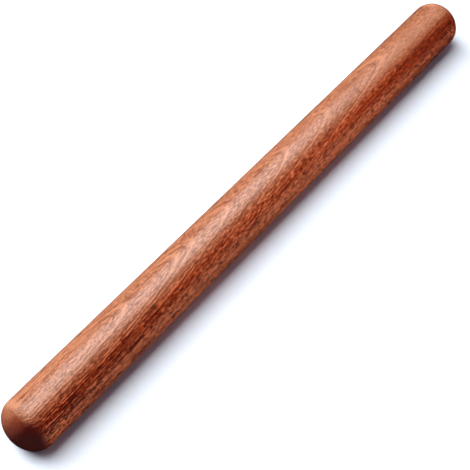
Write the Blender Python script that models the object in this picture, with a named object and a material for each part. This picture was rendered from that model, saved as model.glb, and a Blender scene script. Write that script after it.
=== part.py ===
"""A plain dowel rolling pin, turned in one piece from a reddish brown hardwood.

The pin is one solid: it has no separate handles, rod, bearings or caps.
It lies along X on the plane z = 0, with the origin under the middle of its length, and +Z is up.
Lengths are in metres.
"""

import math

import bmesh
import bpy

# Sizes of the pin
LENGTH = 0.400
DIAMETER = 0.031
END_DEPTH = 0.0123  # of the rounding of each end, from its tip to where the straight side begins

# Facets of the solid. Few enough sides for the pin to lie still on one flat, where the real one is
# round. A multiple of 4 puts flats under it, over it and at both sides.
SIDES = 28
END_STEPS = 10

# Finish
WOOD_COLOUR = (0.370, 0.110, 0.048, 1.0)
WOOD_ROUGHNESS = 0.42
WOOD_METALLIC = 0.0


def clear_scene():
    for obj in list(bpy.data.objects):
        bpy.data.objects.remove(obj, do_unlink=True)


def end_outline():
    """One end of the pin, from its tip on the axis out to the straight side, as a quarter ellipse.

    In each point (depth, height), depth runs in from the tip and height out from the axis.
    """
    points = []
    for step in range(END_STEPS + 1):
        angle = math.pi / 2 * step / END_STEPS
        depth = END_DEPTH * (1 - math.cos(angle))
        height = DIAMETER / 2 * math.sin(angle)
        points.append((depth, height))
    return points


def half_section():
    """The outline of half the pin, from the tip at +X over the straight side to the tip at -X."""
    flat_to_corner = 1 / math.cos(math.pi / SIDES)  # flats, not corners, keep to the diameter
    right = [(LENGTH / 2 - depth, height * flat_to_corner) for depth, height in end_outline()]
    left = [(-along, height) for along, height in reversed(right)]
    return right + left


def wood_material():
    material = bpy.data.materials.new("oiled_hardwood")
    material.use_nodes = True
    shader = material.node_tree.nodes["Principled BSDF"]
    shader.inputs["Base Color"].default_value = WOOD_COLOUR
    shader.inputs["Roughness"].default_value = WOOD_ROUGHNESS
    shader.inputs["Metallic"].default_value = WOOD_METALLIC
    material.diffuse_color = WOOD_COLOUR
    return material


def turned_mesh(name, outline):
    """A mesh of the outline alone, in the plane of X and Z, for a Screw modifier to turn."""
    shape = bmesh.new()
    corners = [shape.verts.new((along, 0, height)) for along, height in outline]
    for first, second in zip(corners, corners[1:]):
        shape.edges.new((first, second))
    mesh = bpy.data.meshes.new(name)
    shape.to_mesh(mesh)
    shape.free()
    return mesh


def make_pin_body():
    mesh = turned_mesh("pin_body", half_section())
    mesh.materials.append(wood_material())
    pin = bpy.data.objects.new("pin_body", mesh)
    bpy.context.scene.collection.objects.link(pin)
    pin.location.z = DIAMETER / 2
    pin.rotation_euler.x = math.pi / SIDES  # half a side, which turns one flat to the floor

    turning = pin.modifiers.new("turning", "SCREW")
    turning.axis = "X"
    turning.angle = 2 * math.pi
    turning.steps = SIDES
    turning.render_steps = SIDES
    turning.use_merge_vertices = True
    turning.merge_threshold = DIAMETER / 10_000
    turning.use_smooth_shade = True
    return pin


clear_scene()
make_pin_body()
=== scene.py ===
"""The looks of a plain dowel rolling pin, turned from a reddish brown, open-pored hardwood and oiled.

The pin lies along X on the floor, z = 0, with its nearer end at -X. Lengths are in metres, and in the
wood's patterns in millimetres.
"""

import math

import bmesh
import bpy
import numpy as np
from mathutils import Matrix, Vector


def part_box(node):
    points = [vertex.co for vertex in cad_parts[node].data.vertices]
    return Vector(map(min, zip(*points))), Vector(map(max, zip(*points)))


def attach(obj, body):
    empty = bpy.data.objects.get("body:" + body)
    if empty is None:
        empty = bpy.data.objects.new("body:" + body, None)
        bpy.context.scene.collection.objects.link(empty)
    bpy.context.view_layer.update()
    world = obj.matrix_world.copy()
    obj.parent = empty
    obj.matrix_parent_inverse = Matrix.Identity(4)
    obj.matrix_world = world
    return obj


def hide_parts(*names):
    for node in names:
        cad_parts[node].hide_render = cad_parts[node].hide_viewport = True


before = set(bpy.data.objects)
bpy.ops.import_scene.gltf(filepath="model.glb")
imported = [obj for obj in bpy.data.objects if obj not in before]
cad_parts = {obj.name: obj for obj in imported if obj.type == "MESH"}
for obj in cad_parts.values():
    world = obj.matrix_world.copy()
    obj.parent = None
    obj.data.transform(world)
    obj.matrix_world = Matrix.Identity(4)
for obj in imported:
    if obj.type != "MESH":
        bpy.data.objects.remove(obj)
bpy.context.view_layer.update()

# The pin, from the frame
PIN_LOW, PIN_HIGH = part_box("pin_body")
PIN_LENGTH = PIN_HIGH.x - PIN_LOW.x
PIN_RADIUS = (PIN_HIGH.z - PIN_LOW.z) / 2
PIN_MIDDLE = (PIN_LOW + PIN_HIGH) / 2

# The turned shape
PIN_SIDES = 192
END_DEPTH = 0.0123  # of each end's rounding, from its tip to where the straight side begins
END_STEPS = 24

# The bake map, which runs from 0 to 1 both ways
MAP_MIDDLE = 0.5
END_MAP_SHARE = 0.10  # of the map's width, for each rounded end
TIP_SHARE = 0.001  # of the radius, inside which a corner counts as the tip

# Camera. Angles are in degrees, azimuth from -Y towards +X, and the lens and the sensor in millimetres
CAMERA_AIM = Vector((-0.03002, -0.00626, 0.0155))
CAMERA_DISTANCE = 0.64724
CAMERA_AZIMUTH = -51.516
CAMERA_ELEVATION = 52.069
CAMERA_LENS = 87.75
CAMERA_SENSOR = 36.0

# Light. Each softbox leans from overhead towards +Y, and swings from there along the pin towards +X.
# Angles are in degrees and power is in watts
MAIN_SOFTBOX = {"lean": 23.0, "swing": -10.0, "distance": 2.5, "length": 1.9, "width": 3.1, "power": 37.0}
SHEEN_SOFTBOX = {"lean": 19.0, "swing": 22.0, "distance": 2.5, "length": 1.6, "width": 2.2, "power": 67.0}
SOFTBOX_COLOUR = (1.0, 0.98, 0.95)
ROOM_COLOUR = (1.0, 0.75, 0.90, 1.0)
ROOM_FILL = 0.045
WHITE = (1.0, 1.0, 1.0, 1.0)

# Floor. Each pair of radii is where the lit floor starts to turn plain white, and where it has
FLOOR_SPAN = 24.0
FLOOR_SEEN = (2.85, 3.25, 3.62, 1.0)  # past white, so that only the shadow shows on it
FLOOR_REFLECTED = (0.08, 0.04, 0.035, 1.0)
FLOOR_BOUNCE = (0.80, 0.80, 0.80, 1.0)  # in the light that it throws back
FLOOR_GLOW_COLOUR = (1.0, 0.80, 0.66, 1.0)
FLOOR_GLOW = 1.15  # what the white floor adds from below, as if it were lit from all round
FIRST_BOUNCE_LIMIT = 1.5  # between the ray depths of a first and a second bounce
PLAIN_RADII = (0.45, 0.90)
REFLECTED_PLAIN_RADII = (1.35, 2.70)  # further out, so that the change doesn't show in reflections

# The wood's growth layers, in millimetres and degrees
MM = 1000.0  # to a metre
LAYER_LEAN = 10.0  # from overhead towards +Y, where the layers lie flat to the surface
DIP_PLACE = 14.0  # along the pin, where the layers slope most
DIP_SLOPE = 0.0964
DIP_EASE = 7.73e-7  # times the cube of the way from there, which levels the layers towards the ends
DEPTH_WANDER = 0.7
SIDE_WANDER = 1.4
WANDER_SIZE = (42.0, 11.0, 11.0)
WANDER_DETAIL = 1.5

# Noise textures keep near their middle. The spread brings them to about -1 to 1
NOISE_MIDDLE = 0.5
NOISE_SPREAD = 5.0

# Streaks along the fibres, in millimetres. Variety only keeps two patterns of a kind apart
MEDIUM_STREAK = {"Length": 26.0, "Width": 1.8, "Thickness": 1.3, "Variety": 2.0, "Detail": 2.0}
FINE_STREAK = {"Length": 10.0, "Width": 0.9, "Thickness": 0.9, "Variety": 3.0, "Detail": 2.0}
FLECK = {"Length": 1.4, "Width": 0.5, "Thickness": 0.5, "Variety": 4.0, "Detail": 0.0}
THIN_STREAK = {"Length": 16.0, "Width": 0.55, "Detail": 1.0}
CURLY_STREAK = {"Length": 4.0, "Width": 0.38, "Detail": 0.0}
EDGE_ON_SHARES = (0.45, 0.80)  # of the radius, across the layers, where the surface turns edge on to them
EDGE_ON_WIDENING = 1.05  # of thin and curly streaks there

# Open pores, in millimetres. Size Share is of the spacing, and Held Share is of the places for a pore
SMALL_PORE = {"Length": 3.0, "Spacing": 0.9, "Size Share": 0.28, "Held Share": 0.6, "Variety": 0.0}
LARGE_PORE = {"Length": 6.0, "Spacing": 1.5, "Size Share": 0.22, "Held Share": 0.4, "Variety": 5.0}
BEAD_PORE = {"Length": 2.0, "Spacing": 1.4, "Size Share": 0.34, "Held Share": 0.7, "Variety": 9.0}
PORE_CORE_SHARE = 0.5  # of a pore's size, inside which it is at its darkest
SMALL_PORE_STRENGTH = 0.85
LARGE_PORE_STRENGTH = 0.75

# The wood's colours. Round the turned side they run from pale layers on top and at +Y to dark heart at -Y
# That change is partly the wood's own and partly painted light: paler towards the lamps, darker in the
# shade at -Y
LIT_PALE_LEAN = 60.0  # degrees from overhead towards +Y, where the pale side lies
SHADED_TO_LIT_SHARES = (-0.28, 0.28)  # of the radius, from the axis towards the pale side
SHADED_TO_LIT_WAVER_SHARE = 0.04  # of the radius, by which medium streaks shift that change
LIT_PALE_LOW = (0.27, 0.070, 0.026, 1.0)
LIT_PALE_HIGH = (0.70, 0.295, 0.160, 1.0)
SHADED_HEART_LOW = (0.07, 0.0, 0.0, 1.0)
SHADED_HEART_MIDDLE = (0.49, 0.051, 0.003, 1.0)
SHADED_HEART_HIGH = (0.88, 0.248, 0.103, 1.0)
# Pore colours for both sides, so the pores follow the painted light and shade too
SHADED_HEART_PORE = (0.05, 0.0, 0.0, 1.0)
LIT_PALE_PORE = (0.17, 0.045, 0.018, 1.0)
SHADED_HEART_STAIN = 0.90  # how strongly a pore's colour covers the wood's
LIT_PALE_STAIN = 0.50

# What each pattern adds to the wood's tone, which runs from 0, dark, to 1, pale
MIDDLE_TONE = 0.5
THIN_TONE = 0.30
CURLY_TONE = 0.50
NEAR_THIN_TONE = 0.24  # more of the thin streaks in the near stretch, and less of the curly ones
NEAR_CURLY_TONE = -0.20
FLECK_TONE = 0.55
LINE_TONE = 0.80
BEAD_BAND_TONE = 0.20

# Growth lines: depth and half width in millimetres, and strength, above zero for a pale line
GROWTH_LINES = (
    (-23.1, 0.12, -1.3),
    (-22.6, 0.35, 0.9),
    (-18.7, 0.30, 0.9),
    (-18.2, 0.12, -1.2),
    (-14.8, 0.30, 0.8),
    (-12.4, 0.40, -0.7),
    (-9.5, 0.35, 0.7),
    (-5.6, 0.40, 0.7),
    (-3.4, 0.40, 0.8),
    (-0.4, 0.60, -0.7),
    (4.6, 0.35, 0.4),
    (5.60, 0.45, 1.2),
    (6.15, 0.10, -2.2),
    (7.7, 1.00, -0.4),
    (10.4, 0.32, 0.8),
    (10.8, 0.08, -1.2),
    (14.1, 0.32, 0.9),
    (14.5, 0.08, -1.2),
    (16.1, 0.60, -0.4),
    (18.8, 0.25, -0.7),
    (19.4, 0.30, 1.0),
    (21.3, 0.25, -0.6),
    (22.1, 0.30, 0.9),
    (22.55, 0.09, -2.0),
    (23.1, 0.28, 1.1),
    (23.6, 0.10, -1.8),
    (25.6, 0.22, -0.7),
    (26.1, 0.28, 0.9),
    (26.6, 0.09, -1.6),
    (27.4, 0.30, 0.5),
)

# A lighter band with beads of wide pores, along the side at -Y. Heights are shares of the radius
BEAD_BAND_HEIGHT_SHARE = 0.27
BEAD_BAND_WIDTH_SHARE = 0.17  # each way from its middle

# Stretches of the pin, from where each starts to where it is full, along X from the middle
NEAR_STRETCH = (-0.06, -0.15)
FAR_STRETCH = (0.06, 0.19)
CALM_STRETCH = (0.0, 0.15)

# Zones round the pin, given in the same way, as shares of the radius towards the pale side
EDGE_SHARES = (0.65, 1.0)
SHADED_SIDE_SHARES = (0.20, -0.30)
LOW_SIDE_SHARES = (-0.35, -0.75)
LOWEST_SHARES = (-0.76, -0.96)

# Contrast of the tone everywhere, what two of the zones add to it, and the tone that it spreads round
WOOD_CONTRAST = 0.66
LOW_SIDE_CONTRAST = 1.25
EDGE_CONTRAST = 1.7
CALM_SHARE = 0.50  # of the contrast, in the calm stretch
WOOD_TONE = 0.43

# What each zone adds to the tone all along the pin, in its near stretch and in its far stretch
# The shaded heart side: a little lighter in the middle, darker in its near and far stretches
SHADED_SIDE_TONES = (0.05, -0.32, -0.34)
# Painted light thrown up from the floor: the low side lighter
LOW_SIDE_BOUNCE_TONES = (0.25, -0.12, -0.12)
# Painted shade where the pin meets the floor: the lowest side darker
LOWEST_SHADE_TONES = (-0.22, 0.0, 0.0)
# Painted light: the edge at +Y lighter towards the lamps, more so in the near stretch and darker in the
# far one, where the light falls off
EDGE_LIGHT_TONES = (0.34, 0.24, -0.62)

# A painted highlight: a paler rim on the lit side, where it starts to round over. Depths are in from the
# tip
RIM_HIGHLIGHT_COLOUR = (0.85, 0.40, 0.24, 1.0)
RIM_HIGHLIGHT_STRENGTH = 0.55
RIM_HIGHLIGHT_INNER_DEPTHS = (0.0150, 0.0110)
RIM_HIGHLIGHT_OUTER_DEPTHS = (0.0065, 0.0100)
RIM_HIGHLIGHT_SHARES = (0.48, 0.75)  # of the radius towards the pale side

# The end grain: how far in from the tip it starts and is full, on the shaded heart side and on the lit
# pale side
END_START_DEPTHS = (0.0138, 0.0095)
END_FULL_DEPTHS = (0.0070, 0.0052)
END_RAGGEDNESS = 0.0006  # how far fine streaks shift its edge
FAR_END_SHARE = 0.20  # of the nearer end's dark grain; the nearer end's extra darkness is painted shade
# Across each end the grain runs from dark at -Y to pale on top: its darkness is the wood's own, the
# change from dark to pale is painted shade and light
END_DARK_SHADED_SHARE = -0.10  # of the radius towards the pale side, where the end grain is darkest
END_PALE_LIT_SHARE = 0.75  # and where it is palest
END_WAVER_SHARE = 0.10  # by which fine streaks shift these two
END_DARK_SHADED = (0.085, 0.0005, 0.0002, 1.0)
END_MIDDLE = (0.27, 0.045, 0.015, 1.0)
END_PALE_LIT = (0.55, 0.180, 0.090, 1.0)
END_PORE = (0.02, 0.004, 0.002, 1.0)
END_STAIN = 0.4

# Gloss, with what streaks, pores and end grain add to the wood's roughness, and relief
WOOD_ROUGHNESS = 0.33
STREAK_ROUGHNESS = -0.04
PORE_ROUGHNESS = 0.25
END_ROUGHNESS = 0.06
PORE_DEPTH = 0.00008
FLECK_HEIGHT_SHARE = 0.12  # of the pores' depth
RELIEF_STRENGTH = 0.6


def select_nothing():
    bpy.ops.object.select_all(action="DESELECT")


def leaning(degrees):
    """The direction that leans this far from overhead towards +Y."""
    lean = math.radians(degrees)
    return Vector((0, math.sin(lean), math.cos(lean)))


def end_outline():
    """Points (depth, height) of one end, a quarter ellipse from the straight side in to the tip.

    Depth runs in from the tip and height out from the axis.
    """
    points = []
    for angle in np.linspace(math.pi / 2, 0, END_STEPS + 1):
        points.append((END_DEPTH * (1 - math.cos(angle)), PIN_RADIUS * math.sin(angle)))
    return points


def select_end_face(piece, side):
    """Selects only the flat face at one end, in edit mode. side is -1 or 1."""
    bpy.ops.mesh.select_mode(type="FACE")
    bpy.ops.mesh.select_all(action="DESELECT")
    shape = bmesh.from_edit_mesh(piece.data)
    end = max(shape.faces, key=lambda face: face.calc_center_median().x * side)
    end.select_set(True)
    shape.select_flush(True)
    bmesh.update_edit_mesh(piece.data)


def round_end(piece, side):
    """Draws the end face out ring by ring along the outline, and closes it in a point at the tip."""
    select_end_face(piece, side)
    outline = end_outline()
    for (depth, height), (next_depth, next_height) in zip(outline, outline[1:]):
        step = (side * (depth - next_depth), 0, 0)
        bpy.ops.mesh.extrude_region_move(TRANSFORM_OT_translate={"value": step})
        along = side * (PIN_LENGTH / 2 - next_depth)
        centre = PIN_MIDDLE + Vector((along, 0, 0))
        if next_height > 0:
            shrink = next_height / height
            bpy.ops.transform.resize(value=(1, shrink, shrink), center_override=centre)
    bpy.ops.mesh.merge(type="CENTER")


def unroll(piece):
    """Gives the piece a bake map: its surface unrolled, with the seam underneath.

    Across the map runs the outline from tip to tip, and up it the turn round the pin. The ends get a
    larger part of it than their own length, so that the end grain stays sharp.
    """
    outline = end_outline()[::-1]
    depths = np.array([depth for depth, _ in outline])
    lengths = np.hypot(np.diff(depths), np.diff([height for _, height in outline]))
    shares = END_MAP_SHARE * np.concatenate([[0], np.cumsum(lengths)]) / lengths.sum()
    straight = PIN_LENGTH - 2 * depths[-1]

    def across(along):
        depth = PIN_LENGTH / 2 - abs(along)
        if depth < depths[-1]:
            share = float(np.interp(depth, depths, shares))
            return share if along < 0 else 1 - share
        return MAP_MIDDLE + (1 - 2 * END_MAP_SHARE) * along / straight

    shape = bmesh.new()
    shape.from_mesh(piece.data)
    layer = shape.loops.layers.uv.new("OFBake")
    for face in shape.faces:
        middle = face.calc_center_median() - PIN_MIDDLE
        face_turn = math.atan2(middle.y, middle.z)
        for loop in face.loops:
            place = loop.vert.co - PIN_MIDDLE
            turn = 0.0
            if math.hypot(place.y, place.z) > PIN_RADIUS * TIP_SHARE:
                turn = math.atan2(place.y, place.z) - face_turn
                turn = (turn + math.pi) % (2 * math.pi) - math.pi
            up = MAP_MIDDLE + (face_turn + turn) / (2 * math.pi)
            loop[layer].uv = (across(place.x), up)
    shape.to_mesh(piece.data)
    shape.free()


def make_pin():
    """The whole pin as one turned piece: a straight blank whose two ends are drawn out and closed."""
    select_nothing()
    shoulder_depth = end_outline()[0][0]
    bpy.ops.mesh.primitive_cylinder_add(
        vertices=PIN_SIDES,
        radius=PIN_RADIUS,
        depth=PIN_LENGTH - 2 * shoulder_depth,
        location=PIN_MIDDLE,
        rotation=(0, math.pi / 2, 0),
        calc_uvs=False,
    )
    pin = bpy.context.object
    pin.name = "turned_pin"
    pin.data.name = "turned_pin"
    bpy.ops.object.transform_apply(location=True, rotation=True, scale=True)
    bpy.ops.object.mode_set(mode="EDIT")
    for side in (-1, 1):
        round_end(pin, side)
    bpy.ops.mesh.select_all(action="SELECT")
    bpy.ops.mesh.normals_make_consistent(inside=False)
    bpy.ops.object.mode_set(mode="OBJECT")
    bpy.ops.object.shade_smooth()
    unroll(pin)
    return pin


# Material nodes


def feed(tree, node, inputs):
    """Sets a node's inputs. inputs maps a socket's name or number to its value or to what feeds it."""
    for name, value in inputs.items():
        if isinstance(value, bpy.types.NodeSocket):
            tree.links.new(value, node.inputs[name])
        else:
            node.inputs[name].default_value = value


def add_node(tree, kind, inputs=None, **settings):
    node = tree.nodes.new("ShaderNode" + kind)
    for name, value in settings.items():
        setattr(node, name, value)
    feed(tree, node, inputs or {})
    return node


def maths(tree, operation, *values, clamp=False):
    node = add_node(tree, "Math", dict(enumerate(values)), operation=operation, use_clamp=clamp)
    return node.outputs[0]


def vector_maths(tree, operation, *values, out=0):
    node = add_node(tree, "VectorMath", dict(enumerate(values)), operation=operation)
    return node.outputs[out]


def ramp_between(tree, value, start, end, low=0.0, high=1.0):
    """A smooth rise from low to high as value goes from start to end, in either direction."""
    inputs = {"Value": value, "From Min": start, "From Max": end, "To Min": low, "To Max": high}
    node = add_node(tree, "MapRange", inputs, interpolation_type="SMOOTHSTEP")
    return node.outputs["Result"]


def mix_colours(tree, factor, first, second):
    node = add_node(tree, "Mix", {"Factor": factor, 6: first, 7: second}, data_type="RGBA")
    return node.outputs[2]


def new_group(name, inputs, outputs):
    """A shader node group, with the sockets of its input and output nodes.

    inputs maps names to start values, or to None for a vector, and outputs maps names to kinds.
    """
    group = bpy.data.node_groups.new(name, "ShaderNodeTree")
    for label, start in inputs.items():
        kind = "NodeSocketVector" if start is None else "NodeSocketFloat"
        socket = group.interface.new_socket(name=label, in_out="INPUT", socket_type=kind)
        if start is not None:
            socket.default_value = start
    for label, kind in outputs.items():
        group.interface.new_socket(name=label, in_out="OUTPUT", socket_type="NodeSocket" + kind)
    return group, group.nodes.new("NodeGroupInput").outputs, group.nodes.new("NodeGroupOutput").inputs


def use_group(tree, group, inputs):
    """Places a group in a material, and returns what it puts out."""
    node = tree.nodes.new("ShaderNodeGroup")
    node.node_tree = group
    feed(tree, node, inputs)
    return node.outputs


def fibre_place_group():
    """Turns a place in the pin into millimetres along the fibres, across them and down the layers.

    The layers are planes that dip along the pin and wander a little, so the turned side cuts them in
    long pointed arches, and the depth is the same all along one layer.
    """
    outputs = {"Place": "Vector", "Depth": "Float"}
    group, given, made = new_group("fibre_place", {"Position": None}, outputs)
    centred = vector_maths(group, "SUBTRACT", given["Position"], PIN_MIDDLE)
    place = vector_maths(group, "MULTIPLY", centred, (MM, MM, MM))
    up = vector_maths(group, "DOT_PRODUCT", place, leaning(LAYER_LEAN), out=1)
    across = vector_maths(group, "DOT_PRODUCT", place, leaning(LAYER_LEAN + 90), out=1)
    along = add_node(group, "SeparateXYZ", {0: place}).outputs[0]

    from_dip = maths(group, "SUBTRACT", along, DIP_PLACE)
    cube = maths(group, "POWER", maths(group, "ABSOLUTE", from_dip), 3.0)
    eased = maths(group, "MULTIPLY", cube, DIP_EASE)
    eased = maths(group, "MULTIPLY", eased, maths(group, "SIGN", from_dip))
    dip = maths(group, "SUBTRACT", eased, maths(group, "MULTIPLY", from_dip, DIP_SLOPE))

    stretched = vector_maths(group, "DIVIDE", place, WANDER_SIZE)
    wander = add_node(group, "TexNoise", {"Vector": stretched, "Scale": 1.0, "Detail": WANDER_DETAIL})
    swing = vector_maths(group, "SUBTRACT", wander.outputs["Color"], (NOISE_MIDDLE,) * 3)
    swing = add_node(group, "SeparateXYZ", {0: swing}).outputs
    across = maths(group, "MULTIPLY_ADD", swing[0], SIDE_WANDER, across)
    depth = maths(group, "MULTIPLY_ADD", swing[1], DEPTH_WANDER, maths(group, "ADD", up, dip))

    fibre_place = add_node(group, "CombineXYZ", {0: along, 1: across, 2: depth}).outputs[0]
    group.links.new(fibre_place, made["Place"])
    group.links.new(depth, made["Depth"])
    return group


def spread_noise(tree, noise):
    return maths(tree, "MULTIPLY_ADD", noise, NOISE_SPREAD, -NOISE_SPREAD * NOISE_MIDDLE)


def streak_group():
    """Streaks along the fibres, from about -1 to 1.

    Width is across a layer, and Thickness down through it.
    """
    inputs = {"Place": None, **FINE_STREAK}
    group, given, made = new_group("fibre_streaks", inputs, {"Streak": "Float"})
    size = add_node(group, "CombineXYZ", {0: given["Length"], 1: given["Width"], 2: given["Thickness"]})
    scaled = vector_maths(group, "DIVIDE", given["Place"], size.outputs[0])
    inputs = {"Vector": scaled, "W": given["Variety"], "Scale": 1.0, "Detail": given["Detail"]}
    noise = add_node(group, "TexNoise", inputs, noise_dimensions="4D").outputs["Fac"]
    group.links.new(spread_noise(group, noise), made["Streak"])
    return group


def thin_streak_group():
    """Streaks along the fibres, from about -1 to 1, all close to one width.

    They are drawn across the layers where those lie flat to the surface, and down through them where the
    surface cuts them edge on.
    """
    inputs = {"Place": None, **THIN_STREAK}
    group, given, made = new_group("thin_streaks", inputs, {"Streak": "Float"})
    along, across, depth = add_node(group, "SeparateXYZ", {0: given["Place"]}).outputs
    along = maths(group, "DIVIDE", along, given["Length"])
    noises = []
    for sideways, widening in ((across, 1.0), (depth, EDGE_ON_WIDENING)):
        sideways = maths(group, "DIVIDE", sideways, maths(group, "MULTIPLY", given["Width"], widening))
        flat = add_node(group, "CombineXYZ", {0: along, 1: sideways}).outputs[0]
        inputs = {"Vector": flat, "Scale": 1.0, "Detail": given["Detail"]}
        noises.append(add_node(group, "TexNoise", inputs, noise_dimensions="2D").outputs["Fac"])
    off_middle = maths(group, "ABSOLUTE", across)
    edge_on_places = [share * PIN_RADIUS * MM for share in EDGE_ON_SHARES]
    edge_on = ramp_between(group, off_middle, *edge_on_places)
    noise = add_node(group, "Mix", {"Factor": edge_on, 2: noises[0], 3: noises[1]}).outputs[0]
    group.links.new(spread_noise(group, noise), made["Streak"])
    return group


def pore_group():
    """Open pores: short tubes along the fibres, dashes on the side and dots on an end."""
    inputs = {"Place": None, **SMALL_PORE}
    group, given, made = new_group("open_pores", inputs, {"Pore": "Float"})
    size = add_node(group, "CombineXYZ", {0: given["Length"], 1: given["Spacing"], 2: given["Spacing"]})
    scaled = vector_maths(group, "DIVIDE", given["Place"], size.outputs[0])
    inputs = {"Vector": scaled, "W": given["Variety"], "Scale": 1.0, "Randomness": 1.0}
    cells = add_node(group, "TexVoronoi", inputs, voronoi_dimensions="4D", feature="F1")
    core = maths(group, "MULTIPLY", given["Size Share"], PORE_CORE_SHARE)
    pore = ramp_between(group, cells.outputs["Distance"], given["Size Share"], core)
    chance = add_node(group, "SeparateColor", {0: cells.outputs["Color"]}).outputs[0]
    held = maths(group, "LESS_THAN", chance, given["Held Share"])
    group.links.new(maths(group, "MULTIPLY", pore, held), made["Pore"])
    return group


def growth_line_group():
    """One growth line: 1 in the middle of it, and smoothly down to 0 half its width away."""
    inputs = {"Depth": 0.0, "Middle": 0.0, "Half Width": 0.5}
    group, given, made = new_group("growth_line", inputs, {"Line": "Float"})
    away = maths(group, "ABSOLUTE", maths(group, "SUBTRACT", given["Depth"], given["Middle"]))
    group.links.new(ramp_between(group, away, given["Half Width"], 0.0), made["Line"])
    return group


def bead_band(tree, centred):
    """Where the band of beads lies: 1 along its middle, and smoothly down to 0 at its edges."""
    sideways, height = add_node(tree, "SeparateXYZ", {0: centred}).outputs[1:3]
    from_band = maths(tree, "MULTIPLY_ADD", height, 1 / PIN_RADIUS, -BEAD_BAND_HEIGHT_SHARE)
    from_band = maths(tree, "ABSOLUTE", from_band)
    band = ramp_between(tree, from_band, BEAD_BAND_WIDTH_SHARE, BEAD_BAND_WIDTH_SHARE / 3)
    return maths(tree, "MULTIPLY", band, maths(tree, "LESS_THAN", sideways, 0.0))


def figure_tone(tree, place, depth, near, fleck, band):
    """The tone that streaks, flecks, growth lines and the band of beads give the wood."""
    streaks, line = thin_streak_group(), growth_line_group()
    thin = use_group(tree, streaks, {"Place": place, **THIN_STREAK})[0]
    curly = use_group(tree, streaks, {"Place": place, **CURLY_STREAK})[0]
    thin_tone = maths(tree, "MULTIPLY_ADD", near, NEAR_THIN_TONE, THIN_TONE)
    curly_tone = maths(tree, "MULTIPLY_ADD", near, NEAR_CURLY_TONE, CURLY_TONE)
    tone = maths(tree, "MULTIPLY_ADD", thin, thin_tone, MIDDLE_TONE)
    tone = maths(tree, "MULTIPLY_ADD", curly, curly_tone, tone)
    tone = maths(tree, "MULTIPLY_ADD", fleck, FLECK_TONE, tone)
    for middle, half_width, strength in GROWTH_LINES:
        made = use_group(tree, line, {"Depth": depth, "Middle": middle, "Half Width": half_width})
        tone = maths(tree, "MULTIPLY_ADD", made["Line"], LINE_TONE * strength, tone)
    return maths(tree, "MULTIPLY_ADD", band, BEAD_BAND_TONE, tone)


def tone_by_zone(tree, tone, along, near, lit_pale_side):
    """Changes the tone's contrast and level round the pin and along it, and keeps it from 0 to 1. Some of
    the levels are painted light and shade.
    """
    far = ramp_between(tree, along, *FAR_STRETCH)
    edge = ramp_between(tree, lit_pale_side, *EDGE_SHARES)
    shaded_side = ramp_between(tree, lit_pale_side, *SHADED_SIDE_SHARES)
    low_side = ramp_between(tree, lit_pale_side, *LOW_SIDE_SHARES)
    lowest = ramp_between(tree, lit_pale_side, *LOWEST_SHARES)

    contrast = maths(tree, "MULTIPLY_ADD", low_side, LOW_SIDE_CONTRAST, WOOD_CONTRAST)
    contrast = maths(tree, "MULTIPLY_ADD", edge, EDGE_CONTRAST, contrast)
    calm = ramp_between(tree, along, *CALM_STRETCH, 1.0, CALM_SHARE)
    contrast = maths(tree, "MULTIPLY", contrast, calm)
    off_middle = maths(tree, "SUBTRACT", tone, MIDDLE_TONE)
    tone = maths(tree, "MULTIPLY_ADD", off_middle, contrast, WOOD_TONE)

    zones = (
        (shaded_side, SHADED_SIDE_TONES),
        (low_side, LOW_SIDE_BOUNCE_TONES),
        (lowest, LOWEST_SHADE_TONES),
        (edge, EDGE_LIGHT_TONES),
    )
    for zone, (all_along, in_near, in_far) in zones:
        added = maths(tree, "MULTIPLY_ADD", far, in_far, all_along)
        added = maths(tree, "MULTIPLY_ADD", near, in_near, added)
        tone = maths(tree, "MULTIPLY_ADD", zone, added, tone)
    return maths(tree, "MAXIMUM", tone, 0.0, clamp=True)


def side_colour(tree, tone, lit_paleness):
    """The side's colour. From dark to pale, the lit pale wood has two colours and the shaded heart three,
    partly painted light and shade.
    """
    lit_pale_wood = mix_colours(tree, tone, LIT_PALE_LOW, LIT_PALE_HIGH)
    lower_half = maths(tree, "MULTIPLY", tone, 2.0, clamp=True)
    upper_half = maths(tree, "MULTIPLY_ADD", tone, 2.0, -1.0, clamp=True)
    shaded_heart_wood = mix_colours(tree, lower_half, SHADED_HEART_LOW, SHADED_HEART_MIDDLE)
    shaded_heart_wood = mix_colours(tree, upper_half, shaded_heart_wood, SHADED_HEART_HIGH)
    return mix_colours(tree, lit_paleness, shaded_heart_wood, lit_pale_wood)


def open_pores(tree, place, band):
    """How open the wood is: small and large pores all over it, and beads along their band."""
    pores = pore_group()
    small = use_group(tree, pores, {"Place": place, **SMALL_PORE})[0]
    large = use_group(tree, pores, {"Place": place, **LARGE_PORE})[0]
    bead = use_group(tree, pores, {"Place": place, **BEAD_PORE})[0]
    small = maths(tree, "MULTIPLY", small, SMALL_PORE_STRENGTH)
    large = maths(tree, "MULTIPLY", large, LARGE_PORE_STRENGTH)
    bead = maths(tree, "MULTIPLY", bead, band)
    return maths(tree, "MAXIMUM", maths(tree, "MAXIMUM", small, large), bead)


def stain_pores(tree, colour, open_pore, lit_paleness):
    # Pores take the same painted light and shade as the wood round them
    pore_colour = mix_colours(tree, lit_paleness, SHADED_HEART_PORE, LIT_PALE_PORE)
    stain = maths(tree, "MULTIPLY_ADD", lit_paleness, LIT_PALE_STAIN - SHADED_HEART_STAIN, SHADED_HEART_STAIN)
    return mix_colours(tree, maths(tree, "MULTIPLY", open_pore, stain), colour, pore_colour)


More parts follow.
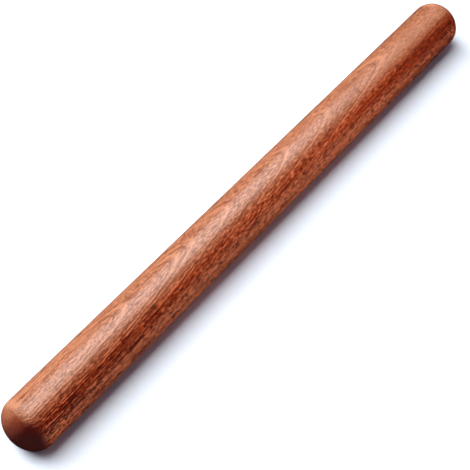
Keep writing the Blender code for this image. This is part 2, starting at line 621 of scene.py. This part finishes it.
def add_rim_highlight(tree, colour, from_tip, lit_pale_side):
    # A painted highlight on the shoulder of each end, on the lit side
    rim_highlight = ramp_between(tree, from_tip, *RIM_HIGHLIGHT_INNER_DEPTHS)
    rim_highlight = maths(tree, "MULTIPLY", rim_highlight, ramp_between(tree, lit_pale_side, *RIM_HIGHLIGHT_SHARES))
    rim_highlight = maths(tree, "MULTIPLY", rim_highlight, ramp_between(tree, from_tip, *RIM_HIGHLIGHT_OUTER_DEPTHS))
    return mix_colours(tree, maths(tree, "MULTIPLY", rim_highlight, RIM_HIGHLIGHT_STRENGTH), colour, RIM_HIGHLIGHT_COLOUR)


def end_grain_cover(tree, along, from_tip, fine, lit_pale_side):
    """How far end grain covers the side's, with a ragged edge, and fainter at the far end, which leaves
    painted shade on the nearer end.
    """
    ragged = maths(tree, "MULTIPLY_ADD", fine, END_RAGGEDNESS, from_tip)
    start = ramp_between(tree, lit_pale_side, *SHADED_TO_LIT_SHARES, *END_START_DEPTHS)
    full = ramp_between(tree, lit_pale_side, *SHADED_TO_LIT_SHARES, *END_FULL_DEPTHS)
    strength = ramp_between(tree, along, -PIN_LENGTH / 4, PIN_LENGTH / 4, 1.0, FAR_END_SHARE)
    return maths(tree, "MULTIPLY", ramp_between(tree, ragged, start, full), strength)


def end_grain_colour(tree, fine, lit_pale_side, open_pore):
    """Dark at the shaded heart side, then a middle colour, then pale on the lit side, all with pores:
    part end grain, part painted shade and light.
    """
    across = maths(tree, "MULTIPLY_ADD", fine, END_WAVER_SHARE, lit_pale_side)
    middle_share = (END_PALE_LIT_SHARE + END_DARK_SHADED_SHARE) / 2
    past_dark = ramp_between(tree, across, END_DARK_SHADED_SHARE, middle_share)
    past_middle = ramp_between(tree, across, middle_share, END_PALE_LIT_SHARE)
    colour = mix_colours(tree, past_dark, END_DARK_SHADED, END_MIDDLE)
    colour = mix_colours(tree, past_middle, colour, END_PALE_LIT)
    return mix_colours(tree, maths(tree, "MULTIPLY", open_pore, END_STAIN), colour, END_PORE)


def oiled_hardwood():
    """Reddish brown wood: paler layers over darker heart, with streaks, open pores and dark ends, and
    with painted light and shade round the pin and on its ends.
    """
    material = bpy.data.materials.new("oiled_hardwood")
    material.use_nodes = True
    tree = material.node_tree
    shader = tree.nodes["Principled BSDF"]

    position = add_node(tree, "TexCoord").outputs["Object"]
    fibres = use_group(tree, fibre_place_group(), {"Position": position})
    place, depth = fibres["Place"], fibres["Depth"]
    streaks = streak_group()
    medium = use_group(tree, streaks, {"Place": place, **MEDIUM_STREAK})[0]
    fine = use_group(tree, streaks, {"Place": place, **FINE_STREAK})[0]
    fleck = use_group(tree, streaks, {"Place": place, **FLECK})[0]

    along = add_node(tree, "SeparateXYZ", {0: position}).outputs[0]
    from_tip = maths(tree, "SUBTRACT", PIN_LENGTH / 2, maths(tree, "ABSOLUTE", along))
    near = ramp_between(tree, along, *NEAR_STRETCH)
    centred = vector_maths(tree, "SUBTRACT", position, PIN_MIDDLE)
    band = bead_band(tree, centred)
    # How far a place lies towards the lit side, which sets both the wood's paleness and its painted light
    # and shade
    lit_pale_side = vector_maths(tree, "DOT_PRODUCT", centred, leaning(LIT_PALE_LEAN), out=1)
    lit_pale_side = maths(tree, "MULTIPLY", lit_pale_side, 1 / PIN_RADIUS)
    lit_paleness = maths(tree, "MULTIPLY_ADD", medium, SHADED_TO_LIT_WAVER_SHARE, lit_pale_side)
    lit_paleness = ramp_between(tree, lit_paleness, *SHADED_TO_LIT_SHARES)

    tone = figure_tone(tree, place, depth, near, fleck, band)
    tone = tone_by_zone(tree, tone, along, near, lit_pale_side)
    open_pore = open_pores(tree, place, band)
    colour = side_colour(tree, tone, lit_paleness)
    colour = stain_pores(tree, colour, open_pore, lit_paleness)
    colour = add_rim_highlight(tree, colour, from_tip, lit_pale_side)
    end_grain = end_grain_cover(tree, along, from_tip, fine, lit_pale_side)
    end_colour = end_grain_colour(tree, fine, lit_pale_side, open_pore)
    colour = mix_colours(tree, end_grain, colour, end_colour)

    roughness = maths(tree, "MULTIPLY_ADD", fine, STREAK_ROUGHNESS, WOOD_ROUGHNESS)
    roughness = maths(tree, "MULTIPLY_ADD", open_pore, PORE_ROUGHNESS, roughness)
    roughness = maths(tree, "MULTIPLY_ADD", end_grain, END_ROUGHNESS, roughness)
    relief = maths(tree, "SUBTRACT", maths(tree, "MULTIPLY", fleck, FLECK_HEIGHT_SHARE), open_pore)
    bump = add_node(tree, "Bump", {"Height": relief, "Strength": RELIEF_STRENGTH, "Distance": PORE_DEPTH})

    tree.links.new(colour, shader.inputs["Base Color"])
    tree.links.new(roughness, shader.inputs["Roughness"])
    tree.links.new(bump.outputs[0], shader.inputs["Normal"])
    return material


def white_floor_material():
    """White and matt round the pin, so that it takes the shadow, and plain white further off.

    The camera sees it past white. Reflections see it much darker and a little red, because the oiled
    wood shows no white floor in its gloss. The first bounce off the pin also finds a reddish glow there,
    which lights the pin's lower side.
    """
    material = bpy.data.materials.new("white_floor")
    material.use_nodes = True
    tree = material.node_tree
    tree.nodes.remove(tree.nodes["Principled BSDF"])
    path = add_node(tree, "LightPath").outputs
    reflected = maths(tree, "MAXIMUM", path["Is Glossy Ray"], path["Is Transmission Ray"])
    colour = mix_colours(tree, reflected, FLOOR_BOUNCE, FLOOR_REFLECTED)
    colour = mix_colours(tree, path["Is Camera Ray"], colour, FLOOR_SEEN)
    matt = add_node(tree, "BsdfDiffuse", {"Color": colour})
    first_bounce = maths(tree, "LESS_THAN", path["Ray Depth"], FIRST_BOUNCE_LIMIT)
    from_pin = maths(tree, "MULTIPLY", path["Is Diffuse Ray"], first_bounce)
    glow = maths(tree, "MULTIPLY", from_pin, FLOOR_GLOW)
    glowing = add_node(tree, "Emission", {"Color": FLOOR_GLOW_COLOUR, "Strength": glow})
    matt = add_node(tree, "AddShader", {0: matt.outputs[0], 1: glowing.outputs[0]})

    position = add_node(tree, "TexCoord").outputs["Object"]
    distance = vector_maths(tree, "LENGTH", position, out=1)
    seen_plain = ramp_between(tree, distance, *PLAIN_RADII)
    reflected_plain = ramp_between(tree, distance, *REFLECTED_PLAIN_RADII)
    plain = maths(tree, "MULTIPLY", reflected_plain, reflected)
    plain = maths(tree, "MULTIPLY_ADD", seen_plain, path["Is Camera Ray"], plain)
    white = add_node(tree, "Emission", {"Color": WHITE, "Strength": 1.0})
    mixed = add_node(tree, "MixShader", {0: plain, 1: matt.outputs[0], 2: white.outputs[0]})
    tree.links.new(mixed.outputs[0], tree.nodes["Material Output"].inputs["Surface"])
    return material


def make_floor():
    select_nothing()
    bpy.ops.mesh.primitive_plane_add(size=FLOOR_SPAN)
    floor = bpy.context.object
    floor.name = "floor"
    floor.data.materials.append(white_floor_material())


def make_room():
    """An even, dim and faintly pink fill from all round, which the camera sees as plain white."""
    world = bpy.data.worlds.new("room")
    world.use_nodes = True
    bpy.context.scene.world = world
    tree = world.node_tree
    fill = tree.nodes["Background"]
    feed(tree, fill, {"Color": ROOM_COLOUR, "Strength": ROOM_FILL})
    seen = add_node(tree, "LightPath").outputs["Is Camera Ray"]
    white = add_node(tree, "Background", {"Color": WHITE, "Strength": 1.0})
    mixed = add_node(tree, "MixShader", {0: seen, 1: fill.outputs[0], 2: white.outputs[0]})
    tree.links.new(mixed.outputs[0], tree.nodes["World Output"].inputs["Surface"])


def aim(thing, place, target):
    thing.location = place
    thing.rotation_euler = (Vector(target) - Vector(place)).to_track_quat("-Z", "Y").to_euler()


def make_softbox(name, lean, swing, distance, length, width, power):
    """A softbox facing the pin's middle, with its length along the pin. Angles are in degrees."""
    light = bpy.data.lights.new(name, "AREA")
    light.shape = "RECTANGLE"
    light.size = length
    light.size_y = width
    light.energy = power
    light.color = SOFTBOX_COLOUR
    softbox = bpy.data.objects.new(name, light)
    bpy.context.scene.collection.objects.link(softbox)
    swing = math.radians(swing)
    overhead, pin_axis = leaning(lean), Vector((1, 0, 0))
    away = math.cos(swing) * overhead + math.sin(swing) * pin_axis
    along = math.cos(swing) * pin_axis - math.sin(swing) * overhead
    turn = Matrix((along, away.cross(along), away)).transposed().to_4x4()
    softbox.matrix_world = Matrix.Translation(PIN_MIDDLE + distance * away) @ turn
    return softbox


def keep_off_floor(softbox, pieces):
    """Lets a softbox light only these pieces, so that it casts no shadow on the floor."""
    lit = bpy.data.collections.new("lit_by_" + softbox.name)
    for piece in pieces:
        lit.objects.link(piece)
    softbox.light_linking.receiver_collection = lit


def make_camera():
    camera_data = bpy.data.cameras.new("camera")
    camera_data.lens = CAMERA_LENS
    camera_data.sensor_width = CAMERA_SENSOR
    camera = bpy.data.objects.new("camera", camera_data)
    bpy.context.scene.collection.objects.link(camera)
    bpy.context.scene.camera = camera
    azimuth, elevation = math.radians(CAMERA_AZIMUTH), math.radians(CAMERA_ELEVATION)
    level = Vector((math.sin(azimuth), -math.cos(azimuth), 0))
    back = math.cos(elevation) * level + math.sin(elevation) * Vector((0, 0, 1))
    aim(camera, CAMERA_AIM + CAMERA_DISTANCE * back, CAMERA_AIM)


def set_look():
    bpy.context.scene.view_settings.view_transform = "Standard"


set_look()
make_camera()
make_room()
make_softbox("main_softbox", **MAIN_SOFTBOX)
make_floor()

pin = make_pin()
pin.data.materials.append(oiled_hardwood())
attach(pin, "root")
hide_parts("pin_body")

sheen_softbox = make_softbox("sheen_softbox", **SHEEN_SOFTBOX)
keep_off_floor(sheen_softbox, [pin])
